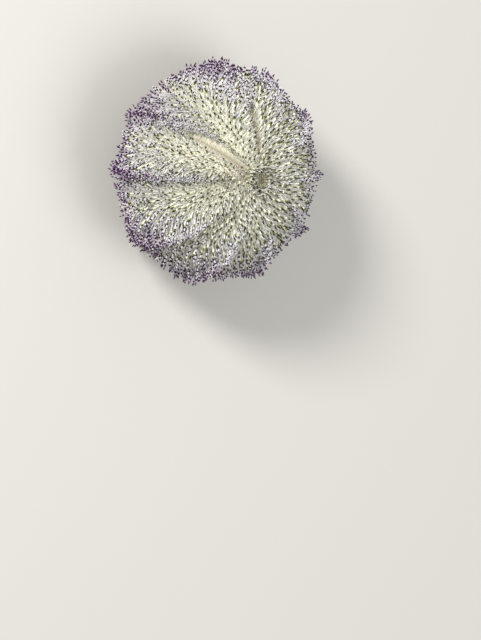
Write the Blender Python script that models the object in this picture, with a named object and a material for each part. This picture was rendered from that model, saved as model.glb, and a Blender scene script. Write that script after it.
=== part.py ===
"""A still, life-size sea urchin of the genus Salmacis, standing mouth down on the short spines of its belly.

Lengths are written in millimetres and turned into metres by MM. Z is up and the floor is at Z = 0. The body
is a flattened ball of ten columns, five ambulacra and five interambulacra, that run like the gores of a
melon from the apical disc on top to the mouth membrane below. Each column carries its own spines. They are
short and stand up along its two edges, where the coat parts, and longer ones lean together from both sides
over a bare line inside it. On the upper half they also lean away from the apex.
"""

import math
import random

import bmesh
import bpy
from mathutils import Matrix, Vector

MM = 0.001
GAP = 0.3

# The test, which is the shell of plates under the spines
TEST_RADIUS = 34.0
WIDEST_Z = 23.5
CROWN_HEIGHT = 28.5
BELLY_DEPTH = 19.5
SQUARENESS = 0.93
PROFILE_STEPS = 17
DEGREES_PER_STEP = 10.5
FULL_TURN = 360.0

# The parts at the two poles
APICAL_RADIUS = 5.6
PERIPROCT_RADIUS = 2.7
PERISTOME_RADIUS = 9.4
MOUTH_RADIUS = 2.3
PLUG_DEPTH = 3.0
AXIS_CLEARANCE = 1.5
ROUND_STEPS = 20
SHARP_ANGLE = 30.0

# The columns, in degrees round the axis from +X: the edge where each starts, and the bare line inside it.
# They are a little uneven, as in a living animal. The last column ends at the first one's edge
COLUMN_LINES = (
    ("interambulacrum_1", 88.0, 101.0),
    ("ambulacrum_1", 130.0, 157.0),
    ("interambulacrum_2", 170.0, 189.0),
    ("ambulacrum_2", 207.0, 230.0),
    ("interambulacrum_3", 245.0, 265.0),
    ("ambulacrum_3", 283.0, 300.0),
    ("interambulacrum_4", 316.0, 335.0),
    ("ambulacrum_4", 353.0, 369.0),
    ("interambulacrum_5", 385.0, 403.0),
    ("ambulacrum_5", 420.0, 435.0),
)

# The spines: their size, their places, and how far they lean
SPINE_BASE_RADIUS = 0.56
SPINE_TIP_RADIUS = 0.24
SPINE_SIDES = 3
ROOT_DEPTH = 1.5
SHORTEST_SPINE = 4.0
LONGEST_SPINE = 7.9
LONGEST_AT = -6.0
TAPER_OFF_ABOVE = 1.4
TAPER_OFF_BELOW = 0.7
LENGTH_VARIATION = 0.06
ROW_SPACING = 3.9
SPINE_SPACING = 3.9
ROOT_CLEARANCE = 0.85
SCATTER = 0.2
BARE_HALF_WIDTH = 1.0
BARE_SHARE = 0.15
UPRIGHT_WIDTH = 1.2
LEAN_RUN = 6.0
PARTING_LENGTH = 0.7
GREATEST_LEAN = 56.0
LOWER_LEAN_SHARE = 0.7
FULL_LEAN_ABOVE = 20.0
SLOPE_AT_PARTING = 0.60
SLOPE_AT_BARE_LINE = 0.25
FULL_SLOPE_ABOVE = 40.0
SLOPE_VARIATION = 0.06
BARE_LINE_CLEARANCE = 0.5
FLOOR_OVERSHOOT = 0.25
SEED = 11

# The plates of the apical disc, each with a spine
GENITAL_DISTANCE = 4.25
GENITAL_SIZE = 1.15
OCULAR_DISTANCE = 4.7
OCULAR_SIZE = 0.75
PLATE_RISE = 0.45
DISC_SPINE_SHARE = 0.75
DISC_SPINE_LEAN = 0.12

# The mouth: its teeth, the buccal tube feet with their suckers, and the gills, each of three short filaments
TEETH = 5
TOOTH_STEPS = 4
FEET_ANGLE = 8.0
FEET_DISTANCE = 5.4
FEET_SPLAY = 0.5
FEET_RADII = (0.42, 0.34)
SUCKER_RADII = (0.72, 0.72, 0.3)
GILL_DISTANCE = 8.3
GILL_RADII = (0.4, 0.28)
GILL_FILAMENTS = ((-0.9, 0.9), (0.0, 1.5), (0.9, 1.1))

SPINE_WHITE = (0.83, 0.82, 0.72)
SPINE_CREAM = (0.86, 0.84, 0.66)
APICAL_TAN = (0.66, 0.58, 0.46)
PERIPROCT_BROWN = (0.50, 0.41, 0.32)
MEMBRANE_TAN = (0.60, 0.49, 0.42)
TOOTH_WHITE = (0.90, 0.89, 0.84)


def clear_scene():
    for thing in list(bpy.data.objects):
        bpy.data.objects.remove(thing, do_unlink=True)


def collection_named(name):
    made = bpy.data.collections.new(name)
    bpy.context.scene.collection.children.link(made)
    return made


def finish_of(name, colour, roughness):
    material = bpy.data.materials.new(name)
    material.use_nodes = True
    shader = material.node_tree.nodes["Principled BSDF"]
    shader.inputs["Base Color"].default_value = (*colour, 1.0)
    shader.inputs["Roughness"].default_value = roughness
    return material


def columns():
    """Each column's name, starting edge, bare line and ending edge."""
    ends = [start for _, start, _ in COLUMN_LINES[1:]] + [COLUMN_LINES[0][1] + FULL_TURN]
    return [(name, start, bare_line, end) for (name, start, bare_line), end in zip(COLUMN_LINES, ends)]


def outline_at(latitude):
    """(radius, height) of the test at this latitude in degrees: -90 is the mouth, 90 the apex."""
    angle = math.radians(latitude)
    depth = CROWN_HEIGHT if latitude > 0 else BELLY_DEPTH
    return TEST_RADIUS * math.cos(angle) ** SQUARENESS, WIDEST_Z + depth * math.sin(angle)


def latitude_at_radius(radius, side):
    """Latitude on the upper (side 1) or lower (side -1) half where the test has this radius."""
    return side * math.degrees(math.acos((radius / TEST_RADIUS) ** (1 / SQUARENESS)))


def surface_point(latitude, azimuth):
    radius, height = outline_at(latitude)
    turn = math.radians(azimuth)
    return Vector((radius * math.cos(turn), radius * math.sin(turn), height))


def surface_axes(latitude, azimuth):
    """(outward normal, direction towards the apex, direction of growing azimuth) on the test."""
    step = 0.5
    rise = surface_point(latitude + step, azimuth) - surface_point(latitude - step, azimuth)
    towards_apex = rise.normalized()
    turn = math.radians(azimuth)
    around = Vector((-math.sin(turn), math.cos(turn), 0))
    return around.cross(towards_apex).normalized(), towards_apex, around


def evenly_spaced(first, last, spacing):
    """Latitudes from first to last, a row's spacing apart along the meridian."""
    steps = 400
    marks = [first + (last - first) * i / steps for i in range(steps + 1)]
    lengths = [0.0]
    for low, high in zip(marks, marks[1:]):
        lengths.append(lengths[-1] + (surface_point(high, 0) - surface_point(low, 0)).length)
    rows = round(lengths[-1] / spacing)
    found = []
    for row in range(rows):
        wanted = (row + 0.5) * lengths[-1] / rows
        place = next(i for i, length in enumerate(lengths) if length >= wanted)
        found.append(marks[place])
    return found


def mesh_object(name, bm, material, collection):
    """A named object from a bmesh in millimetres, with its faces turned outwards."""
    bmesh.ops.recalc_face_normals(bm, faces=bm.faces)
    if bm.calc_volume(signed=True) < 0:
        bmesh.ops.reverse_faces(bm, faces=bm.faces)
    mesh = bpy.data.meshes.new(name)
    bm.to_mesh(mesh)
    bm.free()
    mesh.transform(Matrix.Scale(MM, 4))
    mesh.materials.append(material)
    made = bpy.data.objects.new(name, mesh)
    collection.objects.link(made)
    return made


def cut_away(bm, point, normal):
    """Cuts off what lies beyond the plane, on the normal's side, and closes the cut with a flat face."""
    everything = bm.verts[:] + bm.edges[:] + bm.faces[:]
    cut = bmesh.ops.bisect_plane(
        bm, geom=everything, dist=1e-6, plane_co=point, plane_no=normal, clear_outer=True
    )
    edges = [part for part in cut["geom_cut"] if isinstance(part, bmesh.types.BMEdge)]
    if edges:
        bmesh.ops.contextual_create(bm, geom=edges)


def sector(section, start, end, steps):
    """A bmesh of the closed section, given as (radius, height) points, swept from one azimuth to the other,
    with half a gap cut off each side."""
    spare = 3.0
    bm = bmesh.new()
    turn = Matrix.Rotation(math.radians(start - spare), 3, "Z")
    corners = [bm.verts.new(turn @ Vector((radius, 0, height))) for radius, height in section]
    face = bm.faces.new(corners)
    bmesh.ops.spin(
        bm,
        geom=[face, *face.edges, *face.verts],
        cent=(0, 0, 0),
        axis=(0, 0, 1),
        angle=math.radians(end - start + 2 * spare),
        steps=steps,
    )
    bmesh.ops.recalc_face_normals(bm, faces=bm.faces)
    for azimuth, side in ((start, -1), (end, 1)):
        around = Matrix.Rotation(math.radians(azimuth), 3, "Z") @ Vector((0, side, 0))
        cut_away(bm, -around * GAP / 2, around)
    return bm


def turned(section):
    """A bmesh of a solid turned about the axis from (radius, height) points, which start and end on the
    axis, or form a closed ring clear of it."""
    bm = bmesh.new()
    corners = [bm.verts.new((radius, 0, height)) for radius, height in section]
    edges = [bm.edges.new(pair) for pair in zip(corners, corners[1:])]
    if section[0][0] > 0:
        edges.append(bm.edges.new((corners[-1], corners[0])))
    bmesh.ops.spin(
        bm,
        geom=corners + edges,
        cent=(0, 0, 0),
        axis=(0, 0, 1),
        angle=2 * math.pi,
        steps=ROUND_STEPS,
        use_merge=True,
    )
    bmesh.ops.remove_doubles(bm, verts=bm.verts, dist=1e-4)
    return bm


def rod(root, tip, root_radius, tip_radius, sides, twist=0.0):
    """A bmesh of a tapered rod between two points, cut off at the floor where it would pass through it."""
    along = tip - root
    bm = bmesh.new()
    bmesh.ops.create_cone(
        bm, cap_ends=True, segments=sides, radius1=root_radius, radius2=tip_radius, depth=along.length
    )
    aim = along.to_track_quat("Z", "Y").to_matrix().to_4x4()
    bm.transform(Matrix.Translation((root + tip) / 2) @ aim @ Matrix.Rotation(twist, 4, "Z"))
    if any(corner.co.z < 0 for corner in bm.verts):
        cut_away(bm, Vector((0, 0, 0)), Vector((0, 0, -1)))
    return bm


def ball(centre, radii, segments=8, rings=5):
    bm = bmesh.new()
    bmesh.ops.create_uvsphere(bm, u_segments=segments, v_segments=rings, radius=1.0)
    bm.transform(Matrix.Translation(centre) @ Matrix.Diagonal((*radii, 1.0)))
    return bm


def keep_largest(mesh):
    """Keeps the closed surface with the most volume, so that no sealed hollow or loose scrap is left."""
    bm = bmesh.new()
    bm.from_mesh(mesh)
    left, best, most = set(bm.faces), [], -1.0
    while left:
        shell, edge_of_shell = set(), [left.pop()]
        while edge_of_shell:
            face = edge_of_shell.pop()
            shell.add(face)
            for edge in face.edges:
                for other in edge.link_faces:
                    if other in left:
                        left.discard(other)
                        edge_of_shell.append(other)
        volume = sum(face.calc_center_median().dot(face.normal) * face.calc_area() for face in shell) / 3
        if volume > most:
            best, most = shell, volume
    bmesh.ops.delete(bm, geom=[face for face in bm.faces if face not in best], context="FACES")
    bm.to_mesh(mesh)
    bm.free()


def joined(body, pieces, material):
    """Joins loose closed pieces, given as bmeshes, to the body by one Boolean union, and applies it. Every
    piece is closed, so the quick solver for closed meshes does."""
    loose = collection_named(body.name + " pieces")
    for piece in pieces:
        mesh_object("piece", piece, material, loose)
    union = body.modifiers.new("union", "BOOLEAN")
    union.operation = "UNION"
    union.solver = "MANIFOLD"
    union.operand_type = "COLLECTION"
    union.collection = loose
    shape = bpy.data.meshes.new_from_object(body.evaluated_get(bpy.context.evaluated_depsgraph_get()))
    body.modifiers.clear()
    body.data = shape
    shape.name = body.name
    for thing in list(loose.objects):
        bpy.data.objects.remove(thing, do_unlink=True)
    bpy.data.collections.remove(loose)
    keep_largest(shape)
    shape.shade_smooth()
    shape.set_sharp_from_angle(angle=math.radians(SHARP_ANGLE))
    return body


def spine_length(latitude):
    """Spines are short round the two poles and longest just under the widest part."""
    swell = max(math.cos(math.radians(latitude - LONGEST_AT)), 0.0)
    fall = TAPER_OFF_ABOVE if latitude > LONGEST_AT else TAPER_OFF_BELOW
    return SHORTEST_SPINE + (LONGEST_SPINE - SHORTEST_SPINE) * swell**fall


def share_between(value, start, end):
    """How far the value has come from start to end, held between 0 and 1."""
    return min(max((value - start) / (end - start), 0.0), 1.0)


def spine(latitude, azimuth, side, room, growth, chance):
    """One spine on the test. It leans to the side of growing azimuth (side 1) or the other (side -1), as far
    as its growth into the full lean, from 0 to 1, and the room on that side let it. One that would pass the
    floor ends on it instead."""
    root = surface_point(latitude, azimuth)
    outward, upward, around = surface_axes(latitude, azimuth)
    length = spine_length(latitude) * (PARTING_LENGTH + (1 - PARTING_LENGTH) * growth)
    length *= 1 + chance.uniform(-LENGTH_VARIATION, LENGTH_VARIATION)
    height_share = share_between(latitude, -FULL_LEAN_ABOVE, FULL_LEAN_ABOVE)
    lean = GREATEST_LEAN * growth * (LOWER_LEAN_SHARE + (1 - LOWER_LEAN_SHARE) * height_share)
    sideways = min(math.sin(math.radians(lean)), max(room, 0.0) / length)
    slope = SLOPE_AT_PARTING + (SLOPE_AT_BARE_LINE - SLOPE_AT_PARTING) * growth
    slope *= share_between(latitude, 0, FULL_SLOPE_ABOVE)
    slope += chance.uniform(-SLOPE_VARIATION, SLOPE_VARIATION)
    aim = around * side * sideways + outward * math.sqrt(1 - sideways**2) - upward * slope
    along = aim.normalized() * length
    if root.z + along.z < 0:
        along *= -(root.z + FLOOR_OVERSHOOT) / along.z
    foot = root - along.normalized() * ROOT_DEPTH
    turn = chance.uniform(0, 2 * math.pi)
    return rod(foot, root + along, SPINE_BASE_RADIUS, SPINE_TIP_RADIUS, SPINE_SIDES, turn)


def spines_between(edge, bare_line, rows, chance):
    """The spines from a column's edge to its bare line. They stand upright beside the edge and lean more and
    more towards the bare line, over which their tips close."""
    side = math.copysign(1, bare_line - edge)
    spines = []
    for row in rows:
        radius = outline_at(row)[0]
        run = math.radians(abs(bare_line - edge)) * radius
        first = GAP / 2 + ROOT_CLEARANCE
        last = max(run - min(BARE_HALF_WIDTH, BARE_SHARE * run), first)
        count = max(1, round((last - first) / SPINE_SPACING + 0.5))
        for place in range(count):
            share = (place + 0.5 + chance.uniform(-SCATTER, SCATTER)) / count
            distance = first + (last - first) * share
            azimuth = edge + side * math.degrees(distance / radius)
            latitude = row + chance.uniform(-SCATTER, SCATTER) * math.degrees(ROW_SPACING / TEST_RADIUS)
            latitude = min(max(latitude, rows[0]), rows[-1])
            growth = share_between(distance, UPRIGHT_WIDTH, UPRIGHT_WIDTH + LEAN_RUN)
            room = run - distance - BARE_LINE_CLEARANCE
            spines.append(spine(latitude, azimuth, side, room, growth, chance))
    return spines


def column_section():
    """The outline of a column cut through its middle: the outer curve, and steps that leave room for the
    parts at the two poles."""
    top = latitude_at_radius(APICAL_RADIUS + GAP, 1)
    bottom = latitude_at_radius(PERISTOME_RADIUS + GAP, -1)
    curve = [outline_at(bottom + (top - bottom) * i / PROFILE_STEPS) for i in range(PROFILE_STEPS + 1)]
    ledge_top = outline_at(top)[1] - PLUG_DEPTH - GAP
    ledge_bottom = outline_at(bottom)[1] + PLUG_DEPTH + GAP
    return [
        (AXIS_CLEARANCE, ledge_bottom),
        (PERISTOME_RADIUS + GAP, ledge_bottom),
        *curve,
        (APICAL_RADIUS + GAP, ledge_top),
        (AXIS_CLEARANCE, ledge_top),
    ]


def add_column(name, start, bare_line, end, material, parts, chance):
    steps = max(2, round((end - start) / DEGREES_PER_STEP))
    body = mesh_object(name, sector(column_section(), start, end, steps), material, parts)
    lowest = latitude_at_radius(PERISTOME_RADIUS + ROOT_CLEARANCE, -1)
    highest = latitude_at_radius(APICAL_RADIUS + ROOT_CLEARANCE, 1)
    rows = evenly_spaced(lowest, highest, ROW_SPACING)
    spines = spines_between(start, bare_line, rows, chance) + spines_between(end, bare_line, rows, chance)
    return joined(body, spines, material)


def outward(azimuth):
    turn = math.radians(azimuth)
    return Vector((math.cos(turn), math.sin(turn), 0))


def add_apical_disc(material, parts, chance):
    """A ring of plates round the vent: a large genital plate at the top of each interambulacrum, a small
    ocular plate at the top of each ambulacrum, and a short spine on each."""
    inner = PERIPROCT_RADIUS + GAP
    top_inner = outline_at(latitude_at_radius(inner, 1))[1]
    top_outer = outline_at(latitude_at_radius(APICAL_RADIUS, 1))[1]
    floor = top_outer - PLUG_DEPTH
    ring = [(inner, floor), (APICAL_RADIUS, floor), (APICAL_RADIUS, top_outer), (inner, top_inner)]
    body = mesh_object("apical_disc", turned(ring), material, parts)
    pieces = []
    for name, start, _, end in columns():
        genital = name.startswith("inter")
        distance = GENITAL_DISTANCE if genital else OCULAR_DISTANCE
        size = GENITAL_SIZE if genital else OCULAR_SIZE
        out = outward((start + end) / 2)
        spot = out * distance + Vector((0, 0, outline_at(latitude_at_radius(distance, 1))[1]))
        pieces.append(ball(spot, (size, size, PLATE_RISE)))
        length = SHORTEST_SPINE * (DISC_SPINE_SHARE + chance.uniform(-LENGTH_VARIATION, LENGTH_VARIATION))
        tip = spot + (Vector((0, 0, 1)) + out * DISC_SPINE_LEAN) * length
        foot = spot - Vector((0, 0, ROOT_DEPTH))
        pieces.append(rod(foot, tip, SPINE_BASE_RADIUS, SPINE_TIP_RADIUS, SPINE_SIDES))
    return joined(body, pieces, material)


def add_periproct(material, parts):
    """The round membrane of small plates in the apical disc, with the vent on a low cone in its middle."""
    top = outline_at(latitude_at_radius(PERIPROCT_RADIUS, 1))[1]
    section = [
        (0, top - PLUG_DEPTH),
        (PERIPROCT_RADIUS, top - PLUG_DEPTH),
        (PERIPROCT_RADIUS, top - 0.2),
        (1.9, top + 0.15),
        (1.15, top + 0.2),
        (0.75, top + 0.9),
        (0.4, top + 0.95),
        (0.25, top + 0.4),
        (0, top + 0.4),
    ]
    return mesh_object("periproct", turned(section), material, parts)


def add_peristome(material, parts):
    """The mouth membrane: a shallow dish with a lip round the teeth, a pair of buccal tube feet in line with
    each ambulacrum, each ending in a sucker, and a bushy gill at the rim on each side of it."""
    rim = outline_at(latitude_at_radius(PERISTOME_RADIUS, -1))[1]
    lip = MOUTH_RADIUS + GAP
    section = [
        (lip, rim + PLUG_DEPTH),
        (PERISTOME_RADIUS, rim + PLUG_DEPTH),
        (PERISTOME_RADIUS, rim),
        (7.4, rim + 0.8),
        (5.0, rim + 1.1),
        (3.6, rim + 0.8),
        (lip + 0.2, rim + 0.2),
        (lip, rim + 0.5),
    ]
    body = mesh_object("peristome", turned(section), material, parts)
    pieces = []
    for name, start, _, end in columns():
        if name.startswith("inter"):
            continue
        for side in (-1, 1):
            out = outward((start + end) / 2 + side * FEET_ANGLE)
            root = out * FEET_DISTANCE + Vector((0, 0, rim + 1.9))
            sucker = out * (FEET_DISTANCE + FEET_SPLAY) + Vector((0, 0, rim - 1.1))
            pieces.append(rod(root, sucker, *FEET_RADII, 5))
            pieces.append(ball(sucker, SUCKER_RADII, 6, 4))
            out = outward(end if side > 0 else start)
            across = out.cross(Vector((0, 0, 1)))
            root = out * GILL_DISTANCE + Vector((0, 0, rim + 1.2))
            for spread, drop in GILL_FILAMENTS:
                tip = root + out * 0.3 * drop + across * spread - Vector((0, 0, 1.2 + drop))
                pieces.append(rod(root, tip, *GILL_RADII, 4))
    return joined(body, pieces, material)


def add_teeth(material, parts):
    """Five chisel teeth that close to a point in the middle of the mouth."""
    rim = outline_at(latitude_at_radius(PERISTOME_RADIUS, -1))[1]
    section = [
        (0.35, rim - 1.3),
        (0.9, rim - 0.9),
        (1.75, rim + 0.6),
        (MOUTH_RADIUS, rim + 1.6),
        (MOUTH_RADIUS, rim + PLUG_DEPTH),
        (0.35, rim + PLUG_DEPTH),
    ]
    fifth = FULL_TURN / TEETH
    first = COLUMN_LINES[0][1]
    for k in range(TEETH):
        start = first + fifth * k
        mesh_object(f"tooth_{k + 1}", sector(section, start, start + fifth, TOOTH_STEPS), material, parts)


def main():
    clear_scene()
    parts = collection_named("Sea urchin")
    chance = random.Random(SEED)
    cream = finish_of("ambulacral spines", SPINE_CREAM, 0.55)
    white = finish_of("interambulacral spines", SPINE_WHITE, 0.55)
    for name, start, bare_line, end in columns():
        material = white if name.startswith("inter") else cream
        add_column(name, start, bare_line, end, material, parts, chance)
    add_apical_disc(finish_of("apical plates", APICAL_TAN, 0.6), parts, chance)
    add_periproct(finish_of("periproct skin", PERIPROCT_BROWN, 0.7), parts)
    add_peristome(finish_of("mouth membrane", MEMBRANE_TAN, 0.6), parts)
    add_teeth(finish_of("teeth", TOOTH_WHITE, 0.3), parts)


main()
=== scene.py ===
"""The looks of a life-size salmacis sea urchin, put together over its solids from the shell outwards."""

import math

import bpy
import numpy as np
from mathutils import Matrix, Vector


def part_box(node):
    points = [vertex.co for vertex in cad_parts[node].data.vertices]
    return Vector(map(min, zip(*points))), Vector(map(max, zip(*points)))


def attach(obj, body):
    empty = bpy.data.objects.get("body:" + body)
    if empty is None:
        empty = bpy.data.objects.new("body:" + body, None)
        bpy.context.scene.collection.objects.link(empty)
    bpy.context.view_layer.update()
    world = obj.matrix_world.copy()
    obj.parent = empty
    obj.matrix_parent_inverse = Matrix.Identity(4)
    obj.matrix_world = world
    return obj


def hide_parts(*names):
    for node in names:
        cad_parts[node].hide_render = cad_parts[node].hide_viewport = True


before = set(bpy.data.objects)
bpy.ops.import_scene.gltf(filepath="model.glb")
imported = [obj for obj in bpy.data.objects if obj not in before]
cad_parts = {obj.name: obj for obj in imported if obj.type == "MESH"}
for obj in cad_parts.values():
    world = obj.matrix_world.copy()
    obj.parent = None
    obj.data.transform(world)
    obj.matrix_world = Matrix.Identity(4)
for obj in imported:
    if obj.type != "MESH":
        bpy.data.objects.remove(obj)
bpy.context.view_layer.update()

# The test. It is the shell of the body, of calcite plates grown together in zigzag sutures. A thin living
# skin covers it, so it shows no joint between the columns. It is bare along a sunken line in each column,
# where the spines from both sides lean over it.
MM = 0.001
TEST_RADIUS = 34.0 * MM
WIDEST_HEIGHT = 23.5 * MM
CROWN_HEIGHT = 28.5 * MM
BELLY_DEPTH = 19.5 * MM
SQUARENESS = 0.93
APICAL_RADIUS = 5.6 * MM
PERISTOME_RADIUS = 9.4 * MM
MOUTH_HOLLOW = 3.0 * MM
MOUTH_RIM = 0.2 * MM
TEST_MERIDIANS = 200
TEST_PARALLELS = 110
MERIDIAN_MARKS = 1801
PLATE_HEIGHT = 2.1 * MM
GROOVE_DEPTH = 0.3 * MM
GROOVE_WIDTH = 2.1 * MM
SKIN_CREAM = (240, 236, 212)
# Darker along the sunken groove: the bare skin's own beige, deepened by painted shade of the spines leaning
# over it
GROOVE_BEIGE_AND_SHADE = (156, 149, 128)
SKIN_SUTURE = (146, 137, 112)
SKIN_SPECK = (166, 146, 118)
SPECK_SPAN = (0.66, 0.86)

# Each column with the azimuth of its starting edge, where the coat parts, and of its bare line, in degrees,
# and half the greatest width of the bare strip along it, in millimetres
COLUMN_LINES = (
    ("interambulacrum_1", 88.0, 101.0, 3.1),
    ("ambulacrum_1", 130.0, 157.0, 2.7),
    ("interambulacrum_2", 170.0, 189.0, 0.6),
    ("ambulacrum_2", 207.0, 230.0, 0.7),
    ("interambulacrum_3", 245.0, 265.0, 0.4),
    ("ambulacrum_3", 283.0, 300.0, 0.5),
    ("interambulacrum_4", 316.0, 335.0, 0.4),
    ("ambulacrum_4", 353.0, 369.0, 0.3),
    ("interambulacrum_5", 385.0, 403.0, 0.4),
    ("ambulacrum_5", 420.0, 435.0, 0.5),
)
FIRST_EDGE = COLUMN_LINES[0][1]
column_ends = [line[1] for line in COLUMN_LINES[1:]] + [FIRST_EDGE + 360.0]
columns = [(name, edge, bare, end) for (name, edge, bare, _), end in zip(COLUMN_LINES, column_ends)]
bare_widths = {name: width * MM for name, _, _, width in COLUMN_LINES}
bare_lines = np.array([bare for _, _, bare, _ in columns])


def test_outline(latitude):
    """Radius and height of the test at these latitudes in degrees, 90 at the apex and -90 at the mouth."""
    angle = np.radians(latitude)
    depth = np.where(angle > 0, CROWN_HEIGHT, BELLY_DEPTH)
    radius = TEST_RADIUS * np.maximum(np.cos(angle), 0.0) ** SQUARENESS
    return radius, WIDEST_HEIGHT + depth * np.sin(angle)


def latitude_of_radius(radius, side):
    """Latitude on the upper half (side 1) or the lower half (side -1) where the test has this radius."""
    return side * math.degrees(math.acos((radius / TEST_RADIUS) ** (1 / SQUARENESS)))


def meridian_length(latitude):
    """Length along the test's meridian from the apex down to these latitudes."""
    marks = np.linspace(90.0, -90.0, MERIDIAN_MARKS)
    radius, height = test_outline(marks)
    travelled = np.concatenate([[0.0], np.cumsum(np.hypot(np.diff(radius), np.diff(height)))])
    return np.interp(-np.asarray(latitude), -marks, travelled)


def point_array(mesh):
    flat = np.empty(len(mesh.vertices) * 3, np.float32)
    mesh.vertices.foreach_get("co", flat)
    return flat.reshape(-1, 3).astype(float)


def move_points(mesh, points):
    mesh.vertices.foreach_set("co", points.astype(np.float32).ravel())


def store_attribute(mesh, name, values):
    layer = mesh.attributes.new(name, "FLOAT", "POINT")
    layer.data.foreach_set("value", np.asarray(values, np.float32).ravel())


def tone(colour):
    """The linear colour that a material takes for a screen colour of 0 to 255, by the sRGB curve."""
    share = np.asarray(colour, float) / 255.0
    linear = np.where(share <= 0.04045, share / 12.92, ((share + 0.055) / 1.055) ** 2.4)
    return (*(float(value) for value in linear), 1.0)


def set_inputs(node, values):
    for name, value in values.items():
        node.inputs[name].default_value = value


def wet_material(name, roughness, specular=0.5):
    """A new material with its node tree and its shader."""
    material = bpy.data.materials.new(name)
    material.use_nodes = True
    shader = material.node_tree.nodes["Principled BSDF"]
    set_inputs(shader, {"Roughness": roughness, "Specular IOR Level": specular})
    return material, material.node_tree, shader


def let_light_in(shader, weight, spread, depth):
    """Scatters light under the surface, by this share, spread of red, green and blue, and depth."""
    set_inputs(shader, {"Subsurface Weight": weight, "Subsurface Radius": spread, "Subsurface Scale": depth})


def mixed(tree, share, first, second):
    """A colour mix node; first and second are colours of 0 to 255, or sockets that carry one."""
    mix = tree.nodes.new("ShaderNodeMix")
    mix.data_type = "RGBA"
    tree.links.new(share, mix.inputs[0])
    for socket, value in ((mix.inputs[6], first), (mix.inputs[7], second)):
        if isinstance(value, tuple):
            socket.default_value = tone(value)
        else:
            tree.links.new(value, socket)
    return mix.outputs[2]


def attribute_of(tree, name):
    node = tree.nodes.new("ShaderNodeAttribute")
    node.attribute_name = name
    return node.outputs["Fac"]


def mottle_of(tree, scale, detail):
    """A noise of this many cells to the metre, fixed to the object."""
    where = tree.nodes.new("ShaderNodeTexCoord")
    noise = tree.nodes.new("ShaderNodeTexNoise")
    set_inputs(noise, {"Scale": scale, "Detail": detail})
    tree.links.new(where.outputs["Object"], noise.inputs["Vector"])
    return noise.outputs["Fac"]


def granules_of(tree, scale):
    """The distance from the middles of grains, this many to the metre, fixed to the object."""
    where = tree.nodes.new("ShaderNodeTexCoord")
    grains = tree.nodes.new("ShaderNodeTexVoronoi")
    grains.inputs["Scale"].default_value = scale
    tree.links.new(where.outputs["Object"], grains.inputs["Vector"])
    return grains.outputs["Distance"]


def roughen(tree, shader, height, strength, distance, invert=False):
    """Gives the shader's surface a fine relief of this height."""
    relief = tree.nodes.new("ShaderNodeBump")
    relief.invert = invert
    set_inputs(relief, {"Strength": strength, "Distance": distance})
    tree.links.new(height, relief.inputs["Height"])
    tree.links.new(relief.outputs["Normal"], shader.inputs["Normal"])


bpy.ops.object.select_all(action="DESELECT")
bpy.ops.mesh.primitive_uv_sphere_add(segments=TEST_MERIDIANS, ring_count=TEST_PARALLELS, radius=1.0)
test = bpy.context.object
test.name = "test"
ball = point_array(test.data)
latitudes = np.degrees(np.arcsin(np.clip(ball[:, 2], -1, 1)))
azimuths = np.degrees(np.arctan2(ball[:, 1], ball[:, 0]))
radii, heights = test_outline(latitudes)
to_bare_line = np.abs((azimuths[:, None] - bare_lines + 180.0) % 360.0 - 180.0)
away = np.radians(to_bare_line.min(axis=1)) * radii
groove = np.exp(-((away / GROOVE_WIDTH) ** 2))
inside_mouth = (latitudes < 0) & (radii < PERISTOME_RADIUS - MOUTH_RIM)
heights = heights + inside_mouth * MOUTH_HOLLOW
shape = np.column_stack([np.cos(np.radians(azimuths)), np.sin(np.radians(azimuths))]) * radii[:, None]
shape = np.column_stack([shape, heights])
inward = np.array([0.0, 0.0, WIDEST_HEIGHT]) - shape
inward /= np.linalg.norm(inward, axis=1)[:, None]
shape += inward * (groove * GROOVE_DEPTH)[:, None]
move_points(test.data, shape)
store_attribute(test.data, "groove", groove)

# A plate's place on the test: how many plates down the meridian, and which half of which column
corner_vertex = np.empty(len(test.data.loops), np.int32)
test.data.loops.foreach_get("vertex_index", corner_vertex)
face_sizes = np.empty(len(test.data.polygons), np.int32)
test.data.polygons.foreach_get("loop_total", face_sizes)
face_starts = np.concatenate([[0], np.cumsum(face_sizes)[:-1]])
corner_points = ball[corner_vertex]
face_middles = np.add.reduceat(corner_points, face_starts, axis=0)
face_azimuth = np.repeat(np.degrees(np.arctan2(face_middles[:, 1], face_middles[:, 0])), face_sizes)
face_azimuth = (face_azimuth - FIRST_EDGE) % 360.0 + FIRST_EDGE
corner_azimuth = np.degrees(np.arctan2(corner_points[:, 1], corner_points[:, 0]))
corner_azimuth = face_azimuth + (corner_azimuth - face_azimuth + 180.0) % 360.0 - 180.0
half_lines = [columns[-1][2] - 360.0]
for _, edge, bare, _ in columns:
    half_lines += [edge, bare]
half_lines += [columns[-1][3], columns[0][2] + 360.0]
half_column = np.interp(corner_azimuth, half_lines, np.arange(len(half_lines)))
plates_down = meridian_length(latitudes[corner_vertex]) / PLATE_HEIGHT
plate_map = test.data.uv_layers.new(name="plates")
plate_map.data.foreach_set("uv", np.column_stack([plates_down, half_column]).astype(np.float32).ravel())
bpy.ops.object.shade_smooth()

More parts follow.
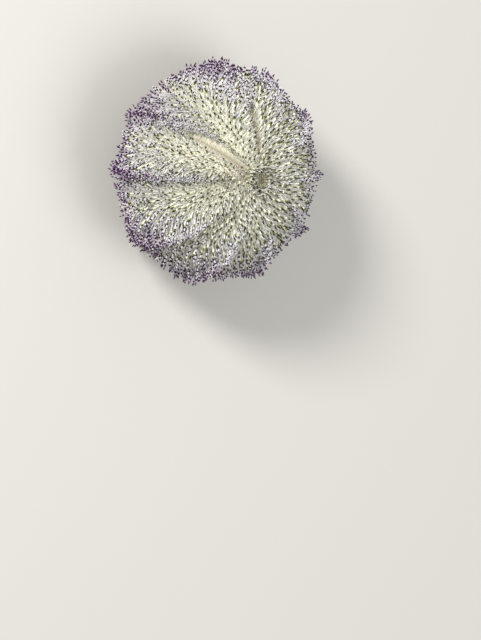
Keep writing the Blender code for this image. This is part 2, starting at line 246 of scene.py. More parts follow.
skin, tree, shader = wet_material("living skin", roughness=0.42)
place = tree.nodes.new("ShaderNodeUVMap")
place.uv_map = "plates"
plates = tree.nodes.new("ShaderNodeTexBrick")
plates.offset = 0.5
set_inputs(plates, {"Scale": 1.0, "Brick Width": 1.0, "Row Height": 1.0})
set_inputs(plates, {"Mortar Size": 0.05, "Mortar Smooth": 0.6})
tree.links.new(place.outputs[0], plates.inputs["Vector"])
speck = tree.nodes.new("ShaderNodeValToRGB")
for element, position in zip(speck.color_ramp.elements, SPECK_SPAN):
    element.position = position
tree.links.new(mottle_of(tree, scale=380.0, detail=6.0), speck.inputs["Fac"])
# The groove mask darkens the skin along each sunken bare line: partly its own beige, partly painted shade
colour = mixed(tree, attribute_of(tree, "groove"), SKIN_CREAM, GROOVE_BEIGE_AND_SHADE)
colour = mixed(tree, plates.outputs["Fac"], colour, SKIN_SUTURE)
colour = mixed(tree, speck.outputs["Color"], colour, SKIN_SPECK)
tree.links.new(colour, shader.inputs["Base Color"])
roughen(tree, shader, granules_of(tree, scale=1500.0), strength=0.6, distance=0.3 * MM, invert=True)
let_light_in(shader, weight=0.25, spread=(1.0, 0.92, 0.8), depth=0.8 * MM)
test.data.materials.append(skin)
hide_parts(*[name for name, _, _, _ in columns])
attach(test, "root")

# The primary spines. Each is a tapered rod of calcite on a ball joint, with a swollen collar at its foot. It
# is cream below and crossed by an olive band and dark purple ones. They stand in rows on the plates, upright
# where the coat parts along the columns' edges, and lean together from both sides over the bare lines.
SPINE_SEED = 100
SPINE_SIDES = 6
SPINE_RINGS = ((0.06, 1.3), (0.11, 1.0), (0.45, 1.0), (0.74, 0.95), (0.93, 0.78), (1.0, 0.42))
SPINE_RADIUS = 0.32 * MM
SHORTEST_GIRTH = 0.88
SPINE_GIRTH = (0.85, 1.1)
SPINE_ROOT = 0.5 * MM
SHORTEST_SPINE = 4.0 * MM
LONGEST_SPINE = 7.9 * MM
LONGEST_AT = -6.0
TAPER_OFF_ABOVE = 1.4
TAPER_OFF_BELOW = 0.7
SPINE_SPACING = 1.82 * MM
SPINE_SCATTER = 0.2
ROW_MARKS = 1200
ROW_STAGGER = 0.25
EDGE_CLEARANCE = 0.1 * MM
BARE_SHARE = 0.3
LEAST_OPEN_SHARE = 0.15
UPRIGHT_WIDTH = 1.2 * MM
LEAN_RUN = 6.0 * MM
LEAN_EASING = 0.5
GREATEST_LEAN = 56.0
LEAN_ACROSS_LOW = 1.2 * MM
LEAN_ACROSS_HIGH = 0.8 * MM
OPEN_ABOVE = 50.0
CLOSED_BELOW = 20.0
ROOTS_CLOSED_BELOW = 30.0
LEAN_FROM_APEX = (0.60, 0.25)
LEAN_FROM_APEX_ABOVE = (0.0, 40.0)
LOWER_LEAN_SHARE = 0.7
FULL_LEAN_ABOVE = 20.0
SPINE_WILDNESS = 0.09
PARTING_WILDNESS = 1.8
SPINE_BEND = 0.05
PARTING_LENGTH = 0.7
ZONE_SHIFT = (-15.0, 21.0)
PALE_SIDE = 170.0
PALE_SHIFT = 9.0
LENGTH_VARIATION = 0.14
FLOOR_CLEARANCE = 0.05 * MM
SMALLEST_DROP = 1e-9
HALF_STEP = 0.4
NEARLY_UPRIGHT = 0.9
MAP_MARGIN = 0.01
MAP_WIDTH = 0.94
MAP_HEIGHT = 0.98
PATCH_WIDTH = 0.003
BANDED_PATCH = 0.03
PLAIN_PATCH = 0.006
BAND_SHIFT = 0.25 * MM
BAND_STRETCH = 0.14
BAND_SOFTNESS = 0.04 * MM
RAMP_LENGTH = 10.0 * MM
SPINE_DARK = (28, 6, 24)
SPINE_OLIVE = (110, 112, 20)
SPINE_CREAM = (240, 238, 216)
SPINE_PALE = (226, 228, 228)

# The bands of spines from the top, the middle and the lower part of the body: each a length and a tone, from
# the tip down to where the plain foot of the spine begins
UPPER_BANDS = (
    (0.08 * MM, (90, 80, 80)),
    (0.70 * MM, SPINE_DARK),
    (0.60 * MM, SPINE_OLIVE),
)
MIDDLE_BANDS = (
    (0.30 * MM, (212, 206, 214)),
    (0.55 * MM, SPINE_DARK),
    (0.75 * MM, (206, 201, 206)),
    (0.50 * MM, SPINE_DARK),
    (0.55 * MM, SPINE_OLIVE),
)
LOWER_BANDS = (
    (0.25 * MM, (104, 66, 108)),
    (0.70 * MM, (40, 8, 40)),
    (0.50 * MM, (176, 156, 182)),
    (0.70 * MM, (38, 8, 38)),
    (0.60 * MM, (204, 192, 206)),
    (0.60 * MM, (36, 8, 34)),
    (0.75 * MM, (218, 212, 218)),
    (0.50 * MM, (38, 10, 32)),
    (0.60 * MM, (128, 124, 78)),
)
PURPLE_BELOW = (28.0, -8.0)
FEW_BANDS_ABOVE = (62.0, 36.0)


def spine_length(latitude):
    """Spines are short round the two poles and longest just under the widest part."""
    swell = np.maximum(np.cos(np.radians(latitude - LONGEST_AT)), 0.0)
    fall = np.where(latitude > LONGEST_AT, TAPER_OFF_ABOVE, TAPER_OFF_BELOW)
    return SHORTEST_SPINE + (LONGEST_SPINE - SHORTEST_SPINE) * swell**fall


def surface_frame(latitude, azimuth):
    """Points of the test, and their outward, upward and around directions, as arrays of three columns."""
    def at(latitude):
        radius, height = test_outline(latitude)
        return np.column_stack([radius * np.cos(turn), radius * np.sin(turn), height])

    turn = np.radians(azimuth)
    upward = at(latitude + HALF_STEP) - at(latitude - HALF_STEP)
    upward /= np.linalg.norm(upward, axis=1)[:, None]
    around = np.column_stack([-np.sin(turn), np.cos(turn), np.zeros_like(turn)])
    return at(latitude), np.cross(around, upward), upward, around


def coat_roots(edge, bare, end, bare_width, spacing, scatter, chance):
    """Latitudes and azimuths of roots in rows across one column, on both sides of its bare line."""
    top = latitude_of_radius(APICAL_RADIUS + EDGE_CLEARANCE, 1)
    bottom = latitude_of_radius(PERISTOME_RADIUS + EDGE_CLEARANCE, -1)
    marks = np.linspace(top, bottom, ROW_MARKS)
    lengths = meridian_length(marks)
    rows = round((lengths[-1] - lengths[0]) / spacing)
    row_lengths = lengths[0] + (np.arange(rows) + 0.5) * (lengths[-1] - lengths[0]) / rows
    found = []
    for row, latitude in enumerate(np.interp(row_lengths, lengths, marks)):
        radius = float(test_outline(latitude)[0])
        open_share = (latitude - ROOTS_CLOSED_BELOW) / (OPEN_ABOVE - ROOTS_CLOSED_BELOW)
        open_share = min(max(open_share, LEAST_OPEN_SHARE), 1.0)
        for side, start in ((1, edge), (-1, end)):
            run = math.radians(abs(bare - start)) * radius
            first = EDGE_CLEARANCE
            last = max(run - open_share * min(bare_width, BARE_SHARE * run), first)
            count = max(1, round((last - first) / spacing))
            stagger = ROW_STAGGER if (row + (side > 0)) % 2 else -ROW_STAGGER
            share = (np.arange(count) + 0.5 + stagger + chance.uniform(-scatter, scatter, count)) / count
            distance = first + (last - first) * np.clip(share, 0.0, 1.0)
            shift = chance.uniform(-scatter, scatter, count) * math.degrees(spacing / TEST_RADIUS)
            lats = np.clip(latitude + shift, bottom, top)
            found.append(np.column_stack([lats, start + side * np.degrees(distance / radius)]))
    return np.concatenate(found).T


def share_above_floor(root, along, clearance):
    """How much of each root-to-tip vector stays this far above the floor, from 0 to 1."""
    height = root[:, 2] - clearance
    drop = np.maximum(-along[:, 2], SMALLEST_DROP)
    return np.where(height + along[:, 2] < 0, height / drop, 1.0)


def coat_lie(edge, bare, end, bare_width, latitude, azimuth, length, parting_length, lean, wildness, chance):
    """Roots and root-to-tip vectors of one column's spines, which lean from its edges towards its bare line,
    and how far each has grown into that lean, from 0 to 1."""
    radius = test_outline(latitude)[0]
    side = np.where(azimuth < bare, 1.0, -1.0)
    start = np.where(side > 0, edge, end)
    distance = np.radians(np.abs(azimuth - start)) * radius
    run = np.radians(np.abs(bare - start)) * radius
    growth = np.clip((distance - UPRIGHT_WIDTH) / LEAN_RUN, 0.0, 1.0)
    eased = growth * growth * (3 - 2 * growth)
    growth = eased * LEAN_EASING + growth * (1 - LEAN_EASING)
    open_share = np.clip((latitude - CLOSED_BELOW) / (OPEN_ABOVE - CLOSED_BELOW), 0.0, 1.0)
    across = LEAN_ACROSS_LOW + (LEAN_ACROSS_HIGH - bare_width - LEAN_ACROSS_LOW) * open_share
    length = length * (parting_length + (1 - parting_length) * growth)
    lean = lean * np.interp(latitude, (-FULL_LEAN_ABOVE, FULL_LEAN_ABOVE), (LOWER_LEAN_SHARE, 1.0))
    sideways = np.minimum(np.sin(np.radians(lean * growth)), np.maximum(run - distance + across, 0) / length)
    root, outward, upward, around = surface_frame(latitude, azimuth)
    away_from_apex = LEAN_FROM_APEX[0] + (LEAN_FROM_APEX[1] - LEAN_FROM_APEX[0]) * growth
    away_from_apex *= np.interp(latitude, LEAN_FROM_APEX_ABOVE, (0.0, 1.0))
    along = around * (side * sideways)[:, None]
    along += outward * np.sqrt(1 - sideways**2)[:, None]
    along -= upward * away_from_apex[:, None]
    wildness = wildness * (PARTING_WILDNESS + (1 - PARTING_WILDNESS) * growth)
    along += chance.normal(0.0, 1.0, along.shape) * wildness[:, None]
    along *= (length / np.linalg.norm(along, axis=1))[:, None]
    return root, along * share_above_floor(root, along, FLOOR_CLEARANCE)[:, None], growth


def zone_of(latitude, azimuth, growth):
    """The latitude that tones are read at: higher by the partings, and higher towards azimuth PALE_SIDE and
    lower on the opposite side.
    """
    side = PALE_SHIFT * np.cos(np.radians(azimuth - PALE_SIDE))
    return latitude - np.interp(growth, (0.0, 1.0), ZONE_SHIFT) + side


def template_of(shape_object, patch_length):
    """A modelled shape's points and faces as arrays, with the length of its copies' patches in the OFBake
    map. The object itself is removed."""
    mesh = shape_object.data
    points = point_array(mesh)
    corners = np.empty(len(mesh.loops), np.int64)
    mesh.loops.foreach_get("vertex_index", corners)
    sizes = np.empty(len(mesh.polygons), np.int64)
    mesh.polygons.foreach_get("loop_total", sizes)
    bpy.data.objects.remove(shape_object, do_unlink=True)
    return points, corners, sizes, patch_length


def turned_rod(name, sides, rings):
    """Models a closed rod of height 1 that stands on the origin: a circle extruded up ring by ring, each
    given as a share of the height and a radius."""
    bpy.ops.object.select_all(action="DESELECT")
    bpy.ops.mesh.primitive_circle_add(vertices=sides, radius=1.0, fill_type="NGON")
    rod = bpy.context.object
    rod.name = name
    bpy.ops.object.mode_set(mode="EDIT")
    bpy.ops.mesh.select_all(action="SELECT")
    height, radius = 0.0, 1.0
    for share, wide in rings:
        bpy.ops.mesh.extrude_region_move(TRANSFORM_OT_translate={"value": (0, 0, share - height)})
        bpy.ops.transform.resize(value=(wide / radius, wide / radius, 1.0))
        height, radius = share, wide
    bpy.ops.mesh.select_all(action="SELECT")
    bpy.ops.mesh.normals_make_consistent(inside=False)
    bpy.ops.object.mode_set(mode="OBJECT")
    return rod


def planted(name, template, root, along, thickness, sink, bend, patches, values):
    """A joined mesh of the template, copied to every root, stretched along its vector and bent by its bend
    vector. Patches are each copy's place in the OFBake map, and values are attributes: arrays of one number
    a copy, or functions of the share of the height that give an array of one number a point."""
    points, corners, sizes, patch_length = template
    count, height = len(root), points[:, 2]
    aim = along / np.linalg.norm(along, axis=1)[:, None]
    helper = np.where(np.abs(aim[:, 2:]) < NEARLY_UPRIGHT, [[0.0, 0.0, 1.0]], [[1.0, 0.0, 0.0]])
    side = np.cross(aim, helper)
    side /= np.linalg.norm(side, axis=1)[:, None]
    other = np.cross(aim, side)
    foot = root - aim * sink
    reach = along + aim * sink
    body = foot[:, None] + reach[:, None] * height[None, :, None]
    body += bend[:, None] * (height**2 - height)[None, :, None]
    body += side[:, None] * (points[:, 0][None, :, None] * thickness[:, None, None])
    body += other[:, None] * (points[:, 1][None, :, None] * thickness[:, None, None])
    mesh = bpy.data.meshes.new(name)
    mesh.vertices.add(count * len(points))
    mesh.vertices.foreach_set("co", body.astype(np.float32).ravel())
    mesh.loops.add(count * len(corners))
    all_corners = corners[None, :] + np.arange(count)[:, None] * len(points)
    mesh.loops.foreach_set("vertex_index", all_corners.astype(np.int32).ravel())
    mesh.polygons.add(count * len(sizes))
    starts = np.concatenate([[0], np.cumsum(np.tile(sizes, count))[:-1]])
    mesh.polygons.foreach_set("loop_start", starts.astype(np.int32))
    mesh.update(calc_edges=True)
    for label, value in values.items():
        spread = value(height) if callable(value) else np.repeat(value[:, None], len(height), axis=1)
        store_attribute(mesh, label, spread)
    across = patches[:, 0, None] + height[None] * patch_length
    down = patches[:, 1, None] + points[None, :, 0] * PATCH_WIDTH / 2
    bake_points = np.stack([across, down], axis=2).reshape(-1, 2)[all_corners.ravel()]
    bake_map = mesh.uv_layers.new(name="OFBake")
    bake_map.data.foreach_set("uv", bake_points.astype(np.float32).ravel())
    made = bpy.data.objects.new(name, mesh)
    bpy.context.scene.collection.objects.link(made)
    mesh.shade_smooth()
    return made


def bake_patches(edge, end, latitude, azimuth):
    """Each root's place on the column's own unwrap: across it and down it, clear of the map's rim."""
    down = meridian_length(latitude)
    down = (down - down.min()) / (down.max() - down.min())
    across = (azimuth - edge) / (end - edge)
    return np.column_stack([MAP_MARGIN + MAP_WIDTH * across, MAP_MARGIN + MAP_HEIGHT * down])


def height_share(count):
    """The attribute share, which grows from 0 at the foot of each copy to 1 at its tip."""
    return {"share": lambda height: np.repeat(height[None], count, axis=0)}


def fill_bands(ramp, bands, foot):
    """Sets a colour ramp to a spine's bands from its tip down, with sharp ends, then to its foot's tone."""
    soft = BAND_SOFTNESS / RAMP_LENGTH
    ramp.elements[0].position = 0.0
    ramp.elements[0].color = tone(bands[0][1])
    ramp.elements[1].position = 1.0
    ramp.elements[1].color = tone(foot)
    at = 0.0
    for (length, colour), (_, below) in zip(bands, (*bands[1:], (0.0, foot))):
        at += length / RAMP_LENGTH
        ramp.elements.new(at - soft).color = tone(colour)
        ramp.elements.new(at + soft).color = tone(below)


def banded_material(name):
    """Calcite banded by its distance from the spine's tip, with more bands where the attributes many and
    purple are 1 than where they are 0."""
    material, tree, shader = wet_material(name, roughness=0.4, specular=0.2)
    shown = []
    for bands, foot in ((UPPER_BANDS, SPINE_CREAM), (MIDDLE_BANDS, SPINE_CREAM), (LOWER_BANDS, SPINE_PALE)):
        ramp = tree.nodes.new("ShaderNodeValToRGB")
        fill_bands(ramp.color_ramp, bands, foot)
        tree.links.new(attribute_of(tree, "from_tip"), ramp.inputs["Fac"])
        shown.append(ramp.outputs["Color"])
    colour = mixed(tree, attribute_of(tree, "many"), shown[0], shown[1])
    colour = mixed(tree, attribute_of(tree, "purple"), colour, shown[2])
    tree.links.new(colour, shader.inputs["Base Color"])
    return material


def band_values(latitude, reach, chance):
    """The attributes that the bands of a group of spines are drawn from."""
    stretch = 1 + chance.uniform(-BAND_STRETCH, BAND_STRETCH, len(reach))
    shift = chance.uniform(-BAND_SHIFT, BAND_SHIFT, len(reach))
    draw = chance.uniform(0, 1, len(reach))

    def from_tip(height):
        return (reach[:, None] * (1 - height[None]) * stretch[:, None] + shift[:, None]) / RAMP_LENGTH

    def drawn(none_above, all_below):
        return (draw < np.interp(-latitude, (-none_above, -all_below), (0, 1))).astype(float)

    return {"from_tip": from_tip, "many": drawn(*FEW_BANDS_ABOVE), "purple": drawn(*PURPLE_BELOW)}


spine_template = template_of(turned_rod("spine", SPINE_SIDES, SPINE_RINGS), BANDED_PATCH)
banded_calcite = banded_material("banded calcite")
for order, (column, edge, bare, end) in enumerate(columns):
    chance = np.random.default_rng(SPINE_SEED + order)
    lines = (edge, bare, end, bare_widths[column])
    latitude, azimuth = coat_roots(*lines, SPINE_SPACING, SPINE_SCATTER, chance)
    variation = 1 + chance.uniform(-LENGTH_VARIATION, LENGTH_VARIATION, len(latitude))
    length = spine_length(latitude) * variation
    root, along, growth = coat_lie(
        *lines, latitude, azimuth, length, PARTING_LENGTH, GREATEST_LEAN, SPINE_WILDNESS, chance
    )
    reach = np.linalg.norm(along, axis=1)
    bend = chance.normal(0.0, SPINE_BEND, along.shape) * reach[:, None]
    girth = SHORTEST_GIRTH + (1 - SHORTEST_GIRTH) * length / LONGEST_SPINE
    spines = planted(
        "spines_" + column,
        spine_template,
        root,
        along,
        SPINE_RADIUS * girth * chance.uniform(*SPINE_GIRTH, len(length)),
        SPINE_ROOT,
        bend,
        bake_patches(edge, end, latitude, azimuth),
        band_values(zone_of(latitude, azimuth, growth), reach, chance),
    )
    spines.data.materials.append(banded_calcite)
    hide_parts(column)
    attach(spines, "root")

# The secondary spines. They are fine, glassy white needles that fill the coat between the primary spines and
# follow their lie, a little shorter and less orderly.
NEEDLE_SEED = 200
NEEDLE_SIDES = 4
NEEDLE_RINGS = ((0.7, 0.9), (0.86, 0.78), (1.0, 0.35))
NEEDLE_RADIUS = 0.14 * MM
NEEDLE_GIRTH = (0.8, 1.2)
NEEDLE_SPACING = 0.6 * MM
NEEDLE_SCATTER = 0.5
NEEDLE_LENGTH_SHARE = (0.72, 0.9)
NEEDLES_SHORTER_BELOW = (0.0, 40.0)
NEEDLE_VARIATION = (0.75, 1.1)
NEEDLE_PARTING_LENGTH = 0.45
NEEDLE_LEAN = 60.0
NEEDLE_WILDNESS = 0.12
NEEDLE_FOOT = (252, 250, 228)
NEEDLE_LOWER_FOOT = (238, 242, 236)
NEEDLE_WHITE = (249, 250, 248)
NEEDLE_LILAC = (226, 217, 218)
PALEST_LATITUDE = 60.0
DARKEST_LATITUDE = -5.0
MARKED_SHARE = 0.2
MARK_SPAN = (0.7, 0.8)
NO_MARK = (0.0, 0.0, 0.0, 1.0)

needle_template = template_of(turned_rod("needle", NEEDLE_SIDES, NEEDLE_RINGS), PLAIN_PATCH)
glassy, tree, shader = wet_material("glassy calcite", roughness=0.22)
colour = mixed(tree, attribute_of(tree, "low"), NEEDLE_WHITE, NEEDLE_LILAC)
foot = mixed(tree, attribute_of(tree, "low"), NEEDLE_FOOT, NEEDLE_LOWER_FOOT)
colour = mixed(tree, attribute_of(tree, "share"), foot, colour)
mark = tree.nodes.new("ShaderNodeValToRGB")
mark.color_ramp.interpolation = "CONSTANT"
mark.color_ramp.elements[1].position = MARK_SPAN[0]
mark.color_ramp.elements.new(MARK_SPAN[1]).color = NO_MARK
tree.links.new(attribute_of(tree, "share"), mark.inputs["Fac"])
shown = tree.nodes.new("ShaderNodeMath")
shown.operation = "MULTIPLY"
tree.links.new(mark.outputs["Color"], shown.inputs[0])
tree.links.new(attribute_of(tree, "marked"), shown.inputs[1])
tint = mixed(tree, attribute_of(tree, "low"), SPINE_OLIVE, SPINE_DARK)
colour = mixed(tree, shown.outputs[0], colour, tint)
tree.links.new(colour, shader.inputs["Base Color"])
let_light_in(shader, weight=0.7, spread=(1.0, 0.97, 0.9), depth=1.0 * MM)
for order, (column, edge, bare, end) in enumerate(columns):
    chance = np.random.default_rng(NEEDLE_SEED + order)
    lines = (edge, bare, end, bare_widths[column])
    latitude, azimuth = coat_roots(*lines, NEEDLE_SPACING, NEEDLE_SCATTER, chance)
    length = np.interp(latitude, NEEDLES_SHORTER_BELOW, NEEDLE_LENGTH_SHARE) * spine_length(latitude)
    length *= chance.uniform(*NEEDLE_VARIATION, len(latitude))
    root, along, growth = coat_lie(
        *lines, latitude, azimuth, length, NEEDLE_PARTING_LENGTH, NEEDLE_LEAN, NEEDLE_WILDNESS, chance
    )
    zone = zone_of(latitude, azimuth, growth)
    low = np.clip((PALEST_LATITUDE - zone) / (PALEST_LATITUDE - DARKEST_LATITUDE), 0.0, 1.0)
    needles = planted(
        "needles_" + column,
        needle_template,
        root,
        along,
        NEEDLE_RADIUS * chance.uniform(*NEEDLE_GIRTH, len(root)),
        SPINE_ROOT,
        chance.normal(0.0, SPINE_BEND, along.shape) * length[:, None],
        bake_patches(edge, end, latitude, azimuth),
        height_share(len(root))
        | {"low": low, "marked": (chance.uniform(0, 1, len(root)) < MARKED_SHARE).astype(float)},
    )
    needles.data.materials.append(glassy)
    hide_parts(column)
    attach(needles, "root")

# The apical disc. Five large genital plates and five small ocular plates of calcite lie in a ring round the
# vent at the top of the test, held in the skin, with small knobs and short spines on them. Each genital
# plate has the pore through which the eggs or milt leave.
GENITAL_SIZE = (2.6 * MM, 3.9 * MM, 0.8 * MM)
GENITAL_DISTANCE = 4.1 * MM
OCULAR_SIZE = (1.3 * MM, 1.9 * MM, 0.7 * MM)
OCULAR_DISTANCE = 5.1 * MM
PLATE_OUTER_SHARE = 0.5
PLATE_INNER_SHARE = 0.72
PLATE_BEVEL = 0.22 * MM
PORE_INSET = 0.85 * MM
PORE_DEPTH = 0.35 * MM
PORE_TAPER = 0.3
NEARLY_LEVEL = 0.99
TOP_FACE_SHARE = 0.2
DISC_MARKS = 900
DISC_SEED = 300
DISC_SPINES = 60
DISC_NEEDLES = 160
DISC_INNER = 2.9 * MM
DISC_LIFT = 0.3 * MM
DISC_SPINE_LENGTH = (2.0 * MM, 3.6 * MM)
DISC_SPINE_GIRTH = 0.7
DISC_NEEDLE_LENGTH = 0.8
DISC_SPINE_LEAN = 0.5
DISC_WILDNESS = 0.15
PLAN_SHARE = 0.4
PLATE_TAN = (194, 188, 160)
PLATE_BROWN = (130, 120, 96)


def joined_copies(name, copies):
    bpy.ops.object.select_all(action="DESELECT")
    for copy in copies:
        copy.select_set(True)
    bpy.context.view_layer.objects.active = copies[0]
    if len(copies) > 1:
        bpy.ops.object.join()
    copies[0].name = name
    return copies[0]


def copy_turned(original, angle):
    """A copy of a finished piece with its own mesh, turned about the animal's axis."""
    copy = original.copy()
    copy.data = original.data.copy()
    bpy.context.scene.collection.objects.link(copy)
    copy.data.transform(Matrix.Rotation(angle, 4, "Z"))
    return copy


def plan_patches(root, reach):
    """Each root's place on an unwrap of a round piece seen along its own axis, clear of the map's rim."""
    return 0.5 + PLAN_SHARE * root[:, :2] / reach


def apical_plate(size, distance, pore):
    """One plate lying flat at azimuth 0: a block narrowed towards both ends, with rounded edges."""
    bpy.ops.object.select_all(action="DESELECT")
    bpy.ops.mesh.primitive_cube_add(size=1.0, location=(distance, 0, 0))
    plate = bpy.context.object
    plate.scale = size
    bpy.ops.object.transform_apply(location=True, rotation=True, scale=True)
    for end, share in ((1, PLATE_OUTER_SHARE), (-1, PLATE_INNER_SHARE)):
        for vertex in plate.data.vertices:
            vertex.select = (vertex.co.x - distance) * end > 0
        bpy.ops.object.mode_set(mode="EDIT")
        bpy.ops.transform.resize(value=(1.0, share, 1.0))
        bpy.ops.object.mode_set(mode="OBJECT")
    bpy.ops.object.mode_set(mode="EDIT")
    bpy.ops.mesh.select_all(action="SELECT")
    bpy.ops.mesh.bevel(offset=PLATE_BEVEL, segments=2, affect="EDGES")
    bpy.ops.object.mode_set(mode="OBJECT")
    if pore:
        for face in plate.data.polygons:
            face.select = face.normal.z > NEARLY_LEVEL and face.area > size[0] * size[1] * TOP_FACE_SHARE
        bpy.ops.object.mode_set(mode="EDIT")
        bpy.ops.mesh.select_mode(type="FACE")
        bpy.ops.mesh.inset(thickness=PORE_INSET)
        bpy.ops.mesh.inset(thickness=PORE_DEPTH * PORE_TAPER, depth=-PORE_DEPTH)
        bpy.ops.mesh.select_mode(type="VERT")
        bpy.ops.object.mode_set(mode="OBJECT")
    return plate


apical_plates = []
genital = (GENITAL_SIZE, GENITAL_DISTANCE, "inter")
ocular = (OCULAR_SIZE, OCULAR_DISTANCE, "amb")
for size, distance, kind in (genital, ocular):
    plate = apical_plate(size, distance, kind == "inter")
    for column, edge, _, end in columns:
        if column.startswith(kind):
            apical_plates.append(copy_turned(plate, math.radians((edge + end) / 2)))
    bpy.data.objects.remove(plate, do_unlink=True)
disc = joined_copies("apical_disc_plates", apical_plates)
rounding = disc.modifiers.new("rounding", "SUBSURF")
rounding.levels = 2
rounding.render_levels = 2
bpy.ops.object.modifier_apply(modifier="rounding")
plan = point_array(disc.data)
plan_radius = np.hypot(plan[:, 0], plan[:, 1])
crown_radius, crown_height = test_outline(np.linspace(90.0, 0.0, DISC_MARKS))
plan[:, 2] += np.interp(plan_radius, crown_radius, crown_height)
move_points(disc.data, plan)
bpy.ops.object.shade_smooth()
plate_skin, tree, shader = wet_material("skin over calcite plates", roughness=0.4)
mottle = mottle_of(tree, scale=900.0, detail=5.0)
tree.links.new(mixed(tree, mottle, PLATE_TAN, PLATE_BROWN), shader.inputs["Base Color"])
roughen(tree, shader, granules_of(tree, scale=2200.0), strength=0.5, distance=0.15 * MM, invert=True)
disc.data.materials.append(plate_skin)
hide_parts("apical_disc")
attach(disc, "root")

for name, template, count, thickness, material in (
    ("disc_spines", spine_template, DISC_SPINES, SPINE_RADIUS * DISC_SPINE_GIRTH, banded_calcite),
    ("disc_needles", needle_template, DISC_NEEDLES, NEEDLE_RADIUS, glassy),
):
    chance = np.random.default_rng(DISC_SEED + count)
    # Evenly spread roots: each one turns on by the golden angle and steps out as the ring's area grows
    step = (np.arange(count) + 0.5) / count
    distance = np.sqrt(DISC_INNER**2 + step * ((APICAL_RADIUS + EDGE_CLEARANCE) ** 2 - DISC_INNER**2))
    azimuth = np.degrees(np.arange(count) * math.pi * (3 - math.sqrt(5)))
    latitude = np.degrees(np.arccos((distance / TEST_RADIUS) ** (1 / SQUARENESS)))
    root, outward, upward, _ = surface_frame(latitude, azimuth)
    root = root + outward * DISC_LIFT
    lean = chance.uniform(-DISC_SPINE_LEAN, DISC_SPINE_LEAN, (count, 1))
    along = outward - upward * lean + chance.normal(0, DISC_WILDNESS, root.shape)
    length = chance.uniform(*DISC_SPINE_LENGTH, count)
    length *= DISC_NEEDLE_LENGTH if name == "disc_needles" else 1.0
    along *= (length / np.linalg.norm(along, axis=1))[:, None]
    made = planted(
        name,
        template,
        root,
        along,
        np.full(count, thickness),
        SPINE_ROOT,
        np.zeros_like(along),
        plan_patches(root, 2 * APICAL_RADIUS),
        band_values(latitude, length, chance)
        | height_share(count)
        | {"low": np.zeros(count), "marked": np.zeros(count)},
    )
    made.data.materials.append(material)
    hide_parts("apical_disc")
    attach(made, "root")

# The periproct. It is the round leathery skin inside the apical disc, set with small loose plates that
# shrink towards the vent, which opens on a low cone.
PERIPROCT_RINGS = (
    (2.85, 0.30),
    (2.5, 0.42),
    (2.0, 0.50),
    (1.5, 0.55),
    (1.1, 0.62),
    (0.9, 0.85),
    (0.72, 1.15),
    (0.5, 1.2),
    (0.36, 1.0),
    (0.26, 0.6),
    (0.12, 0.5),
)
PERIPROCT_SIDES = 48
PERIPROCT_FOLDS = 10
FOLD_DEPTH = 0.05
FOLDS_WITHIN = 1.2 * MM

# Rings of loose plates: each ring's distance from the middle, its number of plates and their radius, with
# the lengths in millimetres
VENT_PLATES = ((2.45, 17, 0.40), (1.85, 13, 0.34), (1.3, 9, 0.26))
PLATE_SEED = 41
PLATE_TURN = 0.15
PLATE_DRIFT = (0.94, 1.06)
PLATE_STRETCH = (0.7, 1.15)
PLATE_THICKNESS = 0.42
VENT_SKIN = (124, 118, 92)
VENT_DARK = (74, 68, 52)


def ringed_skin(name, rings, sides, base_height):
    """A round skin built up ring by ring from its rim inwards, each a radius and a height in millimetres."""
    bpy.ops.object.select_all(action="DESELECT")
    rim = (0, 0, base_height + rings[0][1] * MM)
    bpy.ops.mesh.primitive_circle_add(vertices=sides, radius=rings[0][0] * MM, location=rim)
    made = bpy.context.object
    made.name = name
    bpy.ops.object.transform_apply(location=True, rotation=True, scale=True)
    bpy.ops.object.mode_set(mode="EDIT")
    bpy.ops.mesh.select_all(action="SELECT")
    for (outer, before), (inner, after) in zip(rings, rings[1:]):
        bpy.ops.mesh.extrude_region_move(TRANSFORM_OT_translate={"value": (0, 0, (after - before) * MM)})
        bpy.ops.transform.resize(value=(inner / outer, inner / outer, 1.0))
    bpy.ops.mesh.fill()
    bpy.ops.mesh.select_all(action="SELECT")
    bpy.ops.mesh.normals_make_consistent(inside=False)
    bpy.ops.object.mode_set(mode="OBJECT")
    return made


periproct_height = float(np.interp(PERIPROCT_RINGS[0][0] * MM, crown_radius, crown_height))
periproct = ringed_skin("periproct_skin", PERIPROCT_RINGS, PERIPROCT_SIDES, periproct_height)
cone = point_array(periproct.data)
turns = np.arctan2(cone[:, 1], cone[:, 0])
folded = np.hypot(cone[:, 0], cone[:, 1]) < FOLDS_WITHIN
cone[:, :2] *= (1 + FOLD_DEPTH * np.sin(turns * PERIPROCT_FOLDS) * folded)[:, None]
move_points(periproct.data, cone)
bpy.ops.object.shade_smooth()
leather, tree, shader = wet_material("wrinkled brown skin", roughness=0.45)
mottle = mottle_of(tree, scale=1400.0, detail=5.0)
tree.links.new(mixed(tree, mottle, VENT_SKIN, VENT_DARK), shader.inputs["Base Color"])
roughen(tree, shader, mottle, strength=0.6, distance=0.12 * MM)
periproct.data.materials.append(leather)
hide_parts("periproct")
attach(periproct, "root")

chance = np.random.default_rng(PLATE_SEED)
ring_radii = [-radius for radius, _ in PERIPROCT_RINGS]
ring_heights = [height for _, height in PERIPROCT_RINGS]
small_plates = []
for distance, count, size in VENT_PLATES:
    height = np.interp(-distance, ring_radii, ring_heights)
    for place in range(count):
        bpy.ops.object.select_all(action="DESELECT")
        angle = 2 * math.pi * (place + chance.uniform(-PLATE_TURN, PLATE_TURN)) / count
        out = distance * chance.uniform(*PLATE_DRIFT)
        spot = Vector((out * math.cos(angle), out * math.sin(angle), height)) * MM
        spot.z += periproct_height
        bpy.ops.mesh.primitive_uv_sphere_add(segments=8, ring_count=5, radius=size * MM, location=spot)
        small_plate = bpy.context.object
        small_plate.scale = (chance.uniform(*PLATE_STRETCH), chance.uniform(*PLATE_STRETCH), PLATE_THICKNESS)
        bpy.ops.object.transform_apply(location=True, rotation=True, scale=True)
        small_plates.append(small_plate)
